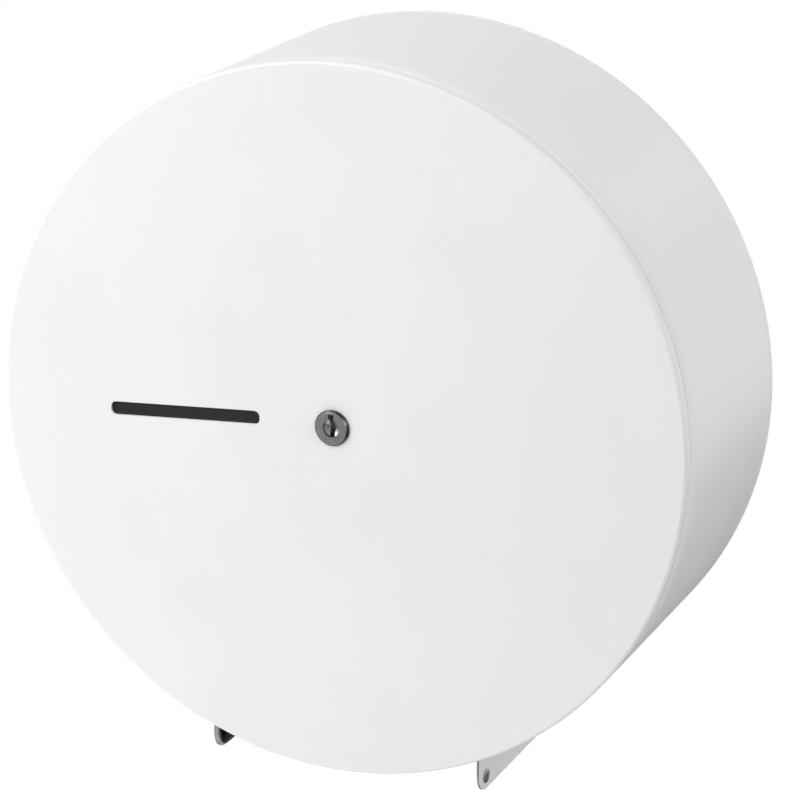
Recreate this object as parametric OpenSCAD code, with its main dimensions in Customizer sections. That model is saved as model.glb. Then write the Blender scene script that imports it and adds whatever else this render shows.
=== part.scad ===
// Wall-hung dispenser for jumbo rolls of toilet tissue.
// A sheet-steel drum stays on the wall and carries a fixed spindle for the roll.
// A shallow round cover closes its mouth and is locked to the spindle's end by a
// keyed cam lock. The paper leaves between two lugs at the bottom of the drum,
// and each lug carries a steel tear blade on its inner side.
// Millimetres. +Z is up, +X is right as seen from the front, the front faces -Y.
// The origin is the centre of the back plate's rear face, where it meets the wall.

/* [Drum] */
// Outer diameter of the drum and of its cover
drum_d = 310; // [296:1:330]
// Distance from the wall to the front face of the cover
overall_depth = 120; // [112:1:140]
// Thickness of the rolled drum wall
wall_t = 1.2; // [1:0.1:1.5]
// Width of the drum's rear flange, which is welded to the back plate
rear_flange_w = 7; // [5:0.5:8]
// Width of the lip turned inwards at the drum's mouth
lip_w = 5; // [4:0.5:8]
// Width of the rounded shoulder between the drum wall and its neck
shoulder_w = 8; // [6:0.5:10]

/* [Lugs] */
// Distance between the outer faces of the two lugs
lug_spread = 125.5; // [110:0.5:150]
// How far the lugs reach below the lowest point of the drum
lug_drop = 5.7; // [4:0.1:8]
// Radius of the lugs' lower corners
lug_corner_r = 8.5; // [6:0.5:10]
// Distance from the lugs' front edge back from the drum's shoulder
lug_setback = 1.9; // [1:0.1:4]
// Inside radius of the bend between drum wall and lug
bend_r = 1.5; // [1:0.1:2.5]

/* [Tear blades] */
// Thickness of a tear blade
blade_t = 0.8; // [0.6:0.1:1.2]
// Height of a tear blade, up from the lug's lower edge
blade_h = 15; // [13:0.5:16]
// How far a tear blade stands back from the lug's front and rear edges
blade_inset = 2.5; // [1:0.1:4]
// Height of the bevel ground on the blade's inner side
bevel_h = 2.5; // [1:0.1:4]
// Thickness left at the tearing edge
edge_t = 0.2; // [0.1:0.05:0.4]
// Diameter of a blade rivet's head
rivet_head_d = 6.3; // [5.5:0.1:8]
// Diameter of a blade rivet's shank
rivet_shank_d = 3.2; // [3:0.1:4.4]
// Distance of a blade rivet from the lug's front or rear edge
rivet_in = 7.8; // [7:0.1:16]
// Distance of a blade rivet from the lug's lower edge
rivet_up = 6.2; // [5.5:0.1:7]

/* [Back plate] */
// Thickness of the back plate's sheet
plate_t = 1.5; // [1.2:0.1:2]
// Width of the edge that is folded back on itself
hem_w = 9; // [8.5:0.5:12]
// Width of the pressed stiffening ring
rib_w = 10; // [8:0.5:12]
// Height of the pressed stiffening ring
rib_h = 2; // [1.5:0.1:3]
// Distance of the stiffening ring from the hem, at its middle
rib_in = 16; // [14:0.5:18]
// Distance between the wall screws, side to side
hole_dx = 190; // [150:1:194]
// Distance between the wall screws, up and down
hole_dz = 110; // [80:1:116]
// Diameter of the holes for the wall screws
hole_d = 6.5; // [5:0.1:8]

/* [Spindle] */
// Outer diameter of the spindle tube
spindle_d = 30; // [28.6:0.2:34]
// Wall of the spindle tube
spindle_t = 1.5; // [1:0.1:1.8]
// Length from the back of the lock's barrel to the spindle's end
spindle_back = 2; // [1.5:0.1:4]
// Diameter of the spindle's foot
foot_d = 70; // [64:1:84]
// Thickness of the spindle's foot
foot_t = 2; // [1.5:0.1:3]
// Height of the collar that the tube is fitted over
collar_h = 8; // [6:0.5:12]
// Wall of that collar
collar_t = 3; // [2:0.1:4]
// Pitch circle of the foot's rivets
foot_pcd = 52; // [48:1:54]
// Number of the foot's rivets
foot_rivets = 4; // [3:1:6]
// Head diameter of the foot's rivets
foot_rivet_d = 9; // [8:0.1:10]
// Shank diameter of the foot's rivets
foot_shank_d = 5; // [4:0.1:5.6]
// Thickness of the slotted end plate
end_plate_t = 1.5; // [1:0.1:2.5]

/* [Cover] */
// Thickness of the cover's sheet
cover_t = 1; // [0.8:0.1:1.4]
// Depth of the cover's rim, from its front face
rim_depth = 4.5; // [4:0.1:6]
// Outside radius of the cover's front edge
edge_r = 1.5; // [1.5:0.1:2.5]
// Gap between the cover's rim and the drum's neck
neck_gap = 0.5; // [0.4:0.1:1]
// Gap between the cover's face and the drum's lip
seat_gap = 0.3; // [0.2:0.1:0.6]
// Width of the groove between the cover's rim and the drum's shoulder
seam_w = 4.3; // [3:0.1:6]

/* [Sight slot] */
// Length of the sight slot
slot_len = 70.5; // [50:0.5:80]
// Height of the sight slot
slot_h = 5.9; // [5.4:0.1:8]
// Radius of the sight slot's corners
slot_r = 2.5; // [1:0.1:2.6]
// Distance from the cover's edge to the slot's outer end
slot_edge = 51; // [44:0.5:60]
// Height of the middle of the slot above the lock
slot_rise = -1.7; // [-3:0.1:3]
// Tilt of the slot, its inner end up
slot_tilt = 3.2; // [0:0.1:6]
// Thickness of the smoked window
window_t = 1.5; // [1:0.1:2.5]
// Margin of the window round the slot
window_margin = 6; // [4:0.1:7]
// Thickness of the adhesive frame that holds the window
tape_t = 0.5; // [0.4:0.1:0.8]
// Step from the slot's edge to the adhesive frame
tape_step = 1; // [0.5:0.1:1.5]

/* [Lock] */
// Diameter of the lock's head
head_d = 15.6; // [15.6:0.1:18]
// Height of the lock's head above the cover
head_h = 1.6; // [1.4:0.1:3]
// Thickness of the head's face round the keyhole
head_face_t = 1; // [0.8:0.1:1.2]
// Chamfer of the lock's head
head_chamfer = 0.9; // [0.4:0.1:1.2]
// Outer diameter of the lock's barrel
barrel_d = 14.4; // [14.2:0.1:14.8]
// Length of the barrel behind the cover's front face
barrel_len = 15; // [13:0.5:18]
// Diameter of the keyhole
keyhole_d = 7.6; // [6:0.1:8]
// Width of the keyhole's notch
notch_w = 2.4; // [2:0.1:3]
// Reach of the notch from the lock's centre
notch_reach = 6; // [5.4:0.1:6.1]
// Diameter of the turning plug
plug_d = 12.2; // [11.8:0.1:12.4]
// Diameter of the conical dish in the plug's face
dish_d = 7.2; // [6:0.1:7.4]
// Depth of that dish
dish_depth = 1.5; // [0.5:0.1:2]
// Depth of the key slot in the plug
key_slot_depth = 5; // [3:0.5:6]
// Diameter of the plug's tail
tail_d = 6.4; // [6.2:0.1:7]
// Square on the tail that carries the cam
tail_square = 4.4; // [4:0.1:4.4]
// Length of the cam across its two ends
cam_len = 20; // [18:0.5:20.5]
// Width of the cam
cam_w = 8; // [7:0.1:8.4]
// Thickness of the cam
cam_t = 2; // [1.5:0.1:3]
// Gap between the cam and the end plate behind which it locks
cam_gap = 0.8; // [0.5:0.1:1.2]
// Gap round the cam in the end plate's slot
cam_clear = 0.7; // [0.5:0.1:0.9]
// Width of the lock nut across its flats
nut_af = 19; // [18:0.5:22]
// Thickness of the lock nut
nut_t = 4; // [3:0.1:5]
// Diameter of the toothed washer under the nut
washer_d = 24; // [22:0.5:26]
// Thickness of the toothed washer
washer_t = 1.2; // [0.8:0.1:1.6]
// Number of teeth on the washer
washer_teeth = 14; // [8:1:20]
// Thickness of the plug's retaining ring
ring_t = 0.8; // [0.6:0.1:1]
// Depth of the retaining ring's groove in the barrel
groove_depth = 0.4; // [0.3:0.05:0.5]
// Diameter of the cam screw's thread
screw_d = 3; // [2.5:0.1:3]
// Diameter of the cam screw's head
screw_head_d = 6; // [5:0.1:6.8]
// Height of the cam screw's head
screw_head_h = 2; // [1.5:0.1:2.5]
// Length of the cam screw below its washer
screw_len = 6; // [5:0.5:6.5]
// Diameter of the cam screw's washer
cam_washer_d = 7; // [6:0.1:7.6]
// Thickness of the cam screw's washer
cam_washer_t = 0.6; // [0.5:0.1:1]

/* [Hidden] */

$fa = 3;
$fs = 0.4;

// Fits
fixed_fit = 0.05;    // round pieces of one assembly, radially
turning_fit = 0.1;   // plug in barrel, radially
edge = 0.5;          // broken edges of the sheet
through = 1;         // how far a cut runs past a face

// Colours
painted = [0.93, 0.93, 0.93];
steel = [0.62, 0.63, 0.64];
dark_steel = [0.45, 0.45, 0.46];
smoked = [0.2, 0.21, 0.22];
adhesive = [0.12, 0.12, 0.13];

// Levels, measured out from the wall
hem_h = 2 * plate_t;
inner_face_h = overall_depth - cover_t;
lip_h = inner_face_h - seat_gap;
rim_end_h = overall_depth - rim_depth;
shoulder_h = rim_end_h - seam_w;
foot_h = plate_t + foot_t;
barrel_end_h = overall_depth - barrel_len;
spindle_end_h = barrel_end_h - spindle_back;
cam_front_h = spindle_end_h - end_plate_t - cam_gap;
cam_back_h = cam_front_h - cam_t;
cam_washer_h = cam_back_h - cam_washer_t;
head_top_h = overall_depth + head_h;
chamber_top_h = head_top_h - head_face_t;
groove_h = barrel_end_h + 1;
plug_back_h = groove_h + ring_t + 2 * fixed_fit;
plug_front_h = chamber_top_h - 0.3;

// Radii
drum_r = drum_d / 2;
slot_reach = drum_r - slot_edge - slot_len / 2;
neck_r = drum_r - cover_t - neck_gap;
rib_r = drum_r - hem_w - rib_in;
spindle_r = spindle_d / 2;
spindle_bore_r = spindle_r - spindle_t;
chamber_r = plug_d / 2 + turning_fit;
barrel_r = barrel_d / 2;

// Lugs: the bend's centre lies outside the drum wall and clear of the lug. The sheet
// thins a little where it is bent, on both faces.
thinning = 0.05;
lug_t = wall_t - 2 * thinning;
bend_x = lug_spread / 2 + bend_r + thinning;
bend_z = -sqrt(pow(drum_r + bend_r, 2) - pow(bend_x, 2));
gap_angle = asin(bend_x / (drum_r + bend_r));
lug_rear_h = hem_h + 0.4;
lug_front_h = shoulder_h - lug_setback;
lug_foot_z = -drum_r - lug_drop;
lug_rivet_z = lug_foot_z + rivet_up;
lug_rivet_h = [lug_rear_h + rivet_in, lug_front_h - rivet_in];

// Stands a piece drawn in the front view on the wall, its height towards the front
module from_wall() {
    rotate([90, 0, 0]) children();
}

// A disc or ring between two levels
module disc(r, low, high) {
    translate([0, 0, low]) cylinder(r = r, h = high - low);
}

// A rectangle with rounded corners, centred
module rounded_plate(length, height, r) {
    square([length - 2 * r, height], center = true);
    square([length, height - 2 * r], center = true);
    for (x = [-1, 1], y = [-1, 1])
        translate([x * (length / 2 - r), y * (height / 2 - r)]) circle(r);
}

// Points of a circular arc
function arc(centre, r, from, to, steps) =
    [for (i = [0:steps]) let (a = from + (to - from) * i / steps) centre + r * [cos(a), sin(a)]];

// Half-section of a domed rivet head over a low straight rim, from its outer radius
// inwards
dome_steps = 6;
rivet_rim = 0.4;
function dome(inner, outer, height) =
    [for (i = [0:dome_steps]) let (a = 90 * i / dome_steps)
        [inner + (outer - inner) * cos(a), rivet_rim + (height - rivet_rim) * sin(a)]];

// ---- Back plate -------------------------------------------------------------

rib_steps = 6;
rib_curve = [for (i = [0:rib_steps])
    let (u = i / rib_steps)
    [rib_r + rib_w * (u - 0.5), rib_h * (1 - cos(360 * u)) / 2]];

module back_plate_profile() {
    rear = concat([[0, 0]], rib_curve, [[drum_r - edge, 0], [drum_r, edge]]);
    hem = [[drum_r, hem_h - edge], [drum_r - edge, hem_h], [drum_r - hem_w, hem_h],
           [drum_r - hem_w, plate_t]];
    front = [for (i = [rib_steps:-1:0]) rib_curve[i] + [0, plate_t]];
    polygon(concat(rear, hem, front, [[0, plate_t]]));
}

module at_wall_holes() {
    for (x = [-1, 1], z = [-1, 1]) translate([x * hole_dx / 2, z * hole_dz / 2]) children();
}

module at_foot_rivets() {
    for (i = [0:foot_rivets - 1]) rotate(45 + 360 * i / foot_rivets)
        translate([foot_pcd / 2, 0]) children();
}

// Half-section of a foot rivet's shank, its countersunk end at the wall
sink = 0.8 * plate_t;
function foot_shank(grow, top) = [
    [0, 0], [foot_shank_d / 2 + sink + grow, 0],
    [foot_shank_d / 2 + grow, sink], [foot_shank_d / 2 + grow, top]];

module back_plate() {
    color(painted) from_wall() difference() {
        rotate_extrude() back_plate_profile();
        at_wall_holes() disc(hole_d / 2, -through, hem_h);
        at_foot_rivets() rotate_extrude()
            polygon(concat(foot_shank(fixed_fit, hem_h), [[0, hem_h]]));
    }
}

// ---- Drum wall with its two lugs -----------------------------------------------

// Quarter of an ellipse from the drum wall to its neck, at a depth inside the sheet
shoulder_steps = 8;
function shoulder(depth) =
    [for (i = [0:shoulder_steps])
        let (a = 90 * i / shoulder_steps,
             across = [shoulder_w * cos(a), (drum_r - neck_r) * sin(a)])
        [neck_r + (drum_r - neck_r) * cos(a), shoulder_h - shoulder_w * (1 - sin(a))]
            - depth * across / norm(across)];

module drum_profile() {
    inner_shoulder = shoulder(wall_t);
    outside = concat([[drum_r - rear_flange_w, hem_h], [drum_r - edge, hem_h],
                      [drum_r, hem_h + edge]],
                     shoulder(0), [[neck_r, lip_h - edge], [neck_r - edge, lip_h]]);
    lip = [[neck_r - lip_w, lip_h], [neck_r - lip_w, lip_h - wall_t],
           [neck_r - wall_t, lip_h - wall_t], [neck_r - wall_t, shoulder_h - wall_t]];
    inside = [for (i = [shoulder_steps - 1:-1:0]) inner_shoulder[i]];
    polygon(concat(outside, lip, inside, [[drum_r - wall_t, hem_h + wall_t],
                                          [drum_r - rear_flange_w, hem_h + wall_t]]));
}

// Section of the right lug and of the bend that joins it to the drum wall. Its end
// reaches into the thickness of the wall.
module lug_section() {
    centre = [bend_x, bend_z];
    in_wall = gap_angle - 89.6;
    polygon(concat(
        [(drum_r - wall_t / 4) * [cos(in_wall), sin(in_wall)]],
        arc(centre, bend_r + thinning, 90 + gap_angle, 180, 6),
        [[lug_spread / 2, lug_foot_z], [lug_spread / 2 - lug_t, lug_foot_z]],
        arc(centre, bend_r + thinning + lug_t, 180, 90 + gap_angle, 6),
        [(drum_r - 3 * wall_t / 4) * [cos(in_wall), sin(in_wall)]]));
}

// Outline of a lug in its own plane, from its foot up to a level: first coordinate up,
// second out from the wall. The inset draws in its front and rear edges for a blade.
module lug_outline(top, inset = 0) {
    low = lug_foot_z + lug_corner_r;
    rear = lug_rear_h + inset;
    front = lug_front_h - inset;
    translate([low, rear]) square([top - low, front - rear]);
    translate([lug_foot_z, rear + lug_corner_r])
        square([lug_corner_r, front - rear - 2 * lug_corner_r]);
    for (h = [rear + lug_corner_r, front - lug_corner_r])
        translate([low, h]) circle(lug_corner_r);
}

module at_lug_rivets() {
    for (h = lug_rivet_h) translate([lug_rivet_z, h]) children();
}

// Stands a plate drawn in a lug's plane upright, with its thickness along +X
module in_lug_plane(x, t) {
    translate([x, 0, 0]) rotate([90, 0, 90]) linear_extrude(t) children();
}

module right_lug() {
    intersection() {
        translate([0, 0, hem_h]) linear_extrude(shoulder_h - hem_h) lug_section();
        in_lug_plane(lug_spread / 2 - lug_t - through, 12) difference() {
            lug_outline(bend_z + 10);
            at_lug_rivets() circle(rivet_shank_d / 2 + fixed_fit);
        }
    }
}

module drum_wall() {
    color(painted) from_wall() {
        rotate(gap_angle - 90) rotate_extrude(angle = 360 - 2 * gap_angle) drum_profile();
        right_lug();
        mirror([1, 0, 0]) right_lug();
    }
}

// ---- Tear blades ----------------------------------------------------------------

// Section of the right blade, its tearing edge thinned by the bevel
module blade_section() {
    outer_x = lug_spread / 2 - lug_t;
    inner_x = outer_x - blade_t;
    polygon([[outer_x, lug_foot_z], [outer_x, lug_foot_z + blade_h],
             [inner_x, lug_foot_z + blade_h], [inner_x, lug_foot_z + bevel_h],
             [outer_x - edge_t, lug_foot_z]]);
}

module right_blade() {
    from_wall() intersection() {
        translate([0, 0, lug_rear_h]) linear_extrude(lug_front_h - lug_rear_h) blade_section();
        in_lug_plane(lug_spread / 2 - lug_t - blade_t - through, blade_t + 2 * through)
            difference() {
                lug_outline(lug_foot_z + blade_h + through, blade_inset);
                at_lug_rivets() circle(rivet_shank_d / 2 + fixed_fit);
            }
    }
}

module tear_blade_right() {
    color(steel) right_blade();
}

module tear_blade_left() {
    color(steel) mirror([1, 0, 0]) right_blade();
}

rivet_head_h = 0.9;
rivet_tail_h = 1.2;
rivet_tail_d = rivet_shank_d + 1.6;
mandrel_d = 2;
mandrel_mouth_d = 2.8;
mandrel_floor = -0.6;

// Blind rivet, its axis along Z, its head above zero and its grip below
module blade_rivet() {
    grip = lug_t + blade_t;
    tail_r = rivet_tail_d / 2;
    head_r = rivet_head_d / 2;
    rotate_extrude() polygon(concat(
        [[0, -grip - rivet_tail_h], [tail_r - edge, -grip - rivet_tail_h],
         [tail_r, -grip - rivet_tail_h + edge], [tail_r, -grip],
         [rivet_shank_d / 2, -grip], [rivet_shank_d / 2, 0], [head_r, 0]],
        dome(mandrel_mouth_d / 2, head_r, rivet_head_h),
        [[mandrel_d / 2, mandrel_floor], [0, mandrel_floor]]));
}

module blade_rivets() {
    color(dark_steel) from_wall() for (side = [0, 1]) mirror([side, 0, 0])
        for (h = lug_rivet_h)
            translate([lug_spread / 2, lug_rivet_z, h]) rotate([0, 90, 0]) blade_rivet();
}

// ---- Spindle --------------------------------------------------------------------

module spindle_foot() {
    collar_r = spindle_bore_r - fixed_fit;
    color(steel) from_wall() difference() {
        rotate_extrude() polygon([
            [collar_r - collar_t, plate_t], [foot_d / 2, plate_t],
            [foot_d / 2, foot_h - edge], [foot_d / 2 - edge, foot_h],
            [collar_r, foot_h], [collar_r, foot_h + collar_h - edge],
            [collar_r - edge, foot_h + collar_h], [collar_r - collar_t, foot_h + collar_h]]);
        at_foot_rivets() disc(foot_shank_d / 2 + fixed_fit, 0, foot_h + through);
    }
}

module spindle_tube() {
    color(steel) from_wall() difference() {
        disc(spindle_r, foot_h, spindle_end_h);
        disc(spindle_bore_r, foot_h - through, spindle_end_h + through);
    }
}

module spindle_end_plate() {
    color(steel) from_wall() translate([0, 0, spindle_end_h - end_plate_t])
        linear_extrude(end_plate_t) difference() {
            circle(spindle_bore_r - fixed_fit);
            rounded_plate(cam_w + 2 * cam_clear, cam_len + 2 * cam_clear, 2 + cam_clear);
        }
}

foot_rivet_h = 2;

module spindle_rivets() {
    head_r = foot_rivet_d / 2;
    color(dark_steel) from_wall() at_foot_rivets() rotate_extrude() polygon(concat(
        foot_shank(0, foot_h), [[head_r, foot_h]],
        [for (p = dome(0, head_r, foot_rivet_h)) p + [0, foot_h]]));
}

// ---- Cover ----------------------------------------------------------------------

module cover_profile() {
    corner = [drum_r - edge_r, overall_depth - edge_r];
    polygon(concat(
        [[0, inner_face_h]], arc(corner, edge_r - cover_t, 90, 0, 6),
        [[drum_r - cover_t, rim_end_h], [drum_r - edge / 2, rim_end_h],
         [drum_r, rim_end_h + edge / 2]],
        arc(corner, edge_r, 0, 90, 8), [[0, overall_depth]]));
}

module at_slot() {
    translate([-slot_reach, slot_rise]) rotate(slot_tilt) children();
}

key_rib_w = 2.4;
key_rib_r = head_d / 2 - 0.3;

// Round hole for the barrel with a notch that keeps the lock from turning
module barrel_outline(grow) {
    circle(barrel_r + grow);
    translate([-key_rib_w / 2 - grow, -key_rib_r - grow]) square([key_rib_w + 2 * grow, key_rib_r]);
}

module cover_shell() {
    color(painted) from_wall() difference() {
        rotate_extrude() cover_profile();
        translate([0, 0, inner_face_h - through]) linear_extrude(cover_t + 2 * through) {
            at_slot() rounded_plate(slot_len, slot_h, slot_r);
            barrel_outline(turning_fit);
        }
    }
}

module window_outline() {
    rounded_plate(slot_len + 2 * window_margin, slot_h + 2 * window_margin,
                  slot_r + window_margin / 2);
}

module sight_window() {
    color(smoked) from_wall() translate([0, 0, inner_face_h - tape_t - window_t])
        linear_extrude(window_t) at_slot() window_outline();
}

module window_tape() {
    color(adhesive) from_wall() translate([0, 0, inner_face_h - tape_t])
        linear_extrude(tape_t) at_slot() difference() {
            window_outline();
            rounded_plate(slot_len + 2 * tape_step, slot_h + 2 * tape_step, slot_r + tape_step);
        }
}

// ---- Lock -----------------------------------------------------------------------

module lock_body() {
    color(steel) from_wall() difference() {
        union() {
            disc(barrel_r, barrel_end_h, overall_depth);
            rotate_extrude() polygon([
                [0, overall_depth], [head_d / 2, overall_depth],
                [head_d / 2, head_top_h - head_chamfer],
                [head_d / 2 - head_chamfer, head_top_h], [0, head_top_h]]);
            translate([0, 0, inner_face_h]) linear_extrude(cover_t) barrel_outline(0);
        }
        disc(chamber_r, barrel_end_h - through, chamber_top_h);
        disc(chamber_r + groove_depth, groove_h, groove_h + ring_t + fixed_fit);
        disc(keyhole_d / 2, chamber_top_h - through, head_top_h + through);
        translate([-notch_w / 2, 0, chamber_top_h - through])
            cube([notch_w, notch_reach, head_face_t + 2 * through]);
    }
}

tooth_gap_w = 1.8;
tooth_gap_depth = 1.5;

module lock_washer() {
    color(steel) from_wall() translate([0, 0, inner_face_h - washer_t])
        linear_extrude(washer_t) difference() {
            circle(washer_d / 2);
            circle(barrel_r + fixed_fit);
            for (i = [0:washer_teeth - 1]) rotate(360 * i / washer_teeth)
                translate([washer_d / 2 - tooth_gap_depth, -tooth_gap_w / 2])
                    square([tooth_gap_depth + through, tooth_gap_w]);
        }
}

nut_chamfer = 30;

module lock_nut() {
    corner_r = nut_af / 2 / cos(30);
    drop = (corner_r + through - nut_af / 2) * tan(nut_chamfer);
    color(steel) from_wall() translate([0, 0, inner_face_h - washer_t - nut_t]) difference() {
        intersection() {
            cylinder(r = corner_r, h = nut_t, $fn = 6);
            rotate_extrude() polygon([
                [0, 0], [nut_af / 2, 0], [corner_r + through, drop],
                [corner_r + through, nut_t - drop], [nut_af / 2, nut_t], [0, nut_t]]);
        }
        disc(barrel_r + fixed_fit, -through, nut_t + through);
    }
}

ring_gap = 3;
ring_inner_r = tail_d / 2 + 1.2;

// Snap ring with its gap at the top
module plug_ring() {
    low = groove_h + fixed_fit / 2;
    color(dark_steel) from_wall() difference() {
        disc(chamber_r + groove_depth - fixed_fit, low, low + ring_t);
        disc(ring_inner_r, low - through, low + ring_t + through);
        translate([-ring_gap / 2, 0, low - through])
            cube([ring_gap, barrel_r, ring_t + 2 * through]);
    }
}

screw_room = 0.5;
dish_floor_r = 1;

module plug_dish() {
    low = plug_front_h - dish_depth;
    rotate_extrude() polygon([[0, low], [dish_floor_r, low], [dish_d / 2, plug_front_h],
                              [dish_d / 2, plug_front_h + through],
                              [0, plug_front_h + through]]);
}

module lock_plug() {
    slot_low = keyhole_d / 2 + 1;
    hole_end_h = cam_washer_h + screw_len + screw_room;
    color(dark_steel) from_wall() difference() {
        union() {
            disc(plug_d / 2, plug_back_h, plug_front_h);
            disc(tail_d / 2, cam_front_h, plug_back_h + through);
            translate([-tail_square / 2, -tail_square / 2, cam_back_h])
                cube([tail_square, tail_square, cam_t + through]);
        }
        translate([-notch_w / 2, -slot_low, plug_front_h - key_slot_depth])
            cube([notch_w, slot_low + notch_reach, key_slot_depth + through]);
        plug_dish();
        disc(screw_d / 2 + fixed_fit, cam_back_h - through, hole_end_h);
    }
}

module lock_cam() {
    hole = tail_square + 2 * fixed_fit;
    color(steel) from_wall() translate([0, 0, cam_back_h]) linear_extrude(cam_t) difference() {
        rounded_plate(cam_w, cam_len, 2);
        square([hole, hole], center = true);
    }
}

module cam_washer() {
    color(steel) from_wall() difference() {
        disc(cam_washer_d / 2, cam_washer_h, cam_back_h);
        disc(screw_d / 2 + fixed_fit, cam_washer_h - through, cam_back_h + through);
    }
}

recess_w = 0.8;
recess_len = 3.2;
recess_depth = 1;
screw_bevel = 0.7;

// Pan-head screw with a cross recess, its head towards the wall
module cam_screw() {
    head_low = cam_washer_h - screw_head_h;
    color(dark_steel) from_wall() difference() {
        rotate_extrude() polygon([
            [0, head_low], [screw_head_d / 2 - screw_bevel, head_low],
            [screw_head_d / 2, head_low + screw_bevel], [screw_head_d / 2, cam_washer_h],
            [screw_d / 2, cam_washer_h], [screw_d / 2, cam_washer_h + screw_len],
            [0, cam_washer_h + screw_len]]);
        for (a = [0, 90]) rotate(a)
            translate([-recess_w / 2, -recess_len / 2, head_low - through])
                cube([recess_w, recess_len, through + recess_depth]);
    }
}

back_plate();
drum_wall();
spindle_foot();
spindle_tube();
spindle_end_plate();
spindle_rivets();
tear_blade_left();
tear_blade_right();
blade_rivets();
cover_shell();
sight_window();
window_tape();
lock_body();
lock_washer();
lock_nut();
plug_ring();
lock_plug();
lock_cam();
cam_washer();
cam_screw();
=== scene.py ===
"""Finishes, small fittings, light and camera for a wall-hung dispenser of jumbo tissue rolls.

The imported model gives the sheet-metal drum, its spindle, the cover and the cam lock. This script
lays a procedural finish on each of them and adds what the solids leave out: the welds, the thread
of the lock's barrel, the broken mandrels of the blind rivets and the wafers inside the lock.
"""

from __future__ import annotations

import logging
import math
from dataclasses import dataclass, field
from enum import Enum
from typing import Any, Dict, Iterable, List, Optional, Tuple, Union

import bpy
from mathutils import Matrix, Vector


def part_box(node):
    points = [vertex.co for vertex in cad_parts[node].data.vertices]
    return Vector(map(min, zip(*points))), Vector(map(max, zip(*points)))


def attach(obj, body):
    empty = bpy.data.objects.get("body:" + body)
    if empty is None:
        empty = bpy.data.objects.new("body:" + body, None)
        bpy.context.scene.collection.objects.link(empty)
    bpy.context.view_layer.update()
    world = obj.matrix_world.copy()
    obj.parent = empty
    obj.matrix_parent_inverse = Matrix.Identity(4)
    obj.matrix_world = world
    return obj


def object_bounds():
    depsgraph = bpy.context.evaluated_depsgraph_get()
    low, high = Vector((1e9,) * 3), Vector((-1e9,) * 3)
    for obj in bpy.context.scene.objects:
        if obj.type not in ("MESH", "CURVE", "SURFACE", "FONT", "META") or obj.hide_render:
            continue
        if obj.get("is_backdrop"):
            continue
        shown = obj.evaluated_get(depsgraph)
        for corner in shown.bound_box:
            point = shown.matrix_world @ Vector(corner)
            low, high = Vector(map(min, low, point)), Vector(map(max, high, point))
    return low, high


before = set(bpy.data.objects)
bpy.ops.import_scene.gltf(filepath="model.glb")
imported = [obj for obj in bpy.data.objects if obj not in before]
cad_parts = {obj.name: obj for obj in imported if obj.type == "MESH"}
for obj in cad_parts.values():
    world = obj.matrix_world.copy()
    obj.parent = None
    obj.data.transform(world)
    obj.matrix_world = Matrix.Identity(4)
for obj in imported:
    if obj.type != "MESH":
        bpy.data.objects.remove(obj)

log = logging.getLogger("dispenser")

Colour = Tuple[float, float, float]
Triple = Tuple[float, float, float]
Span = Tuple[float, float]
Feeds = Dict[Union[str, int], Any]

MM = 0.001
FULL_TURN = 2.0 * math.pi
QUARTER_TURN = math.pi / 2.0
WHITE = (1.0, 1.0, 1.0, 1.0)
LUG_SHEET = 1.1 * MM

# How many finer layers a noise has.
SMOOTH = 1.0
PLAIN = 2.0
CLOUDY = 3.0

# Where a Mix node has its colour sockets.
MIX_FIRST = 6
MIX_SECOND = 7
MIX_RESULT = 2


# ---- Node trees written as Python -------------------------------------------------------------


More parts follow.
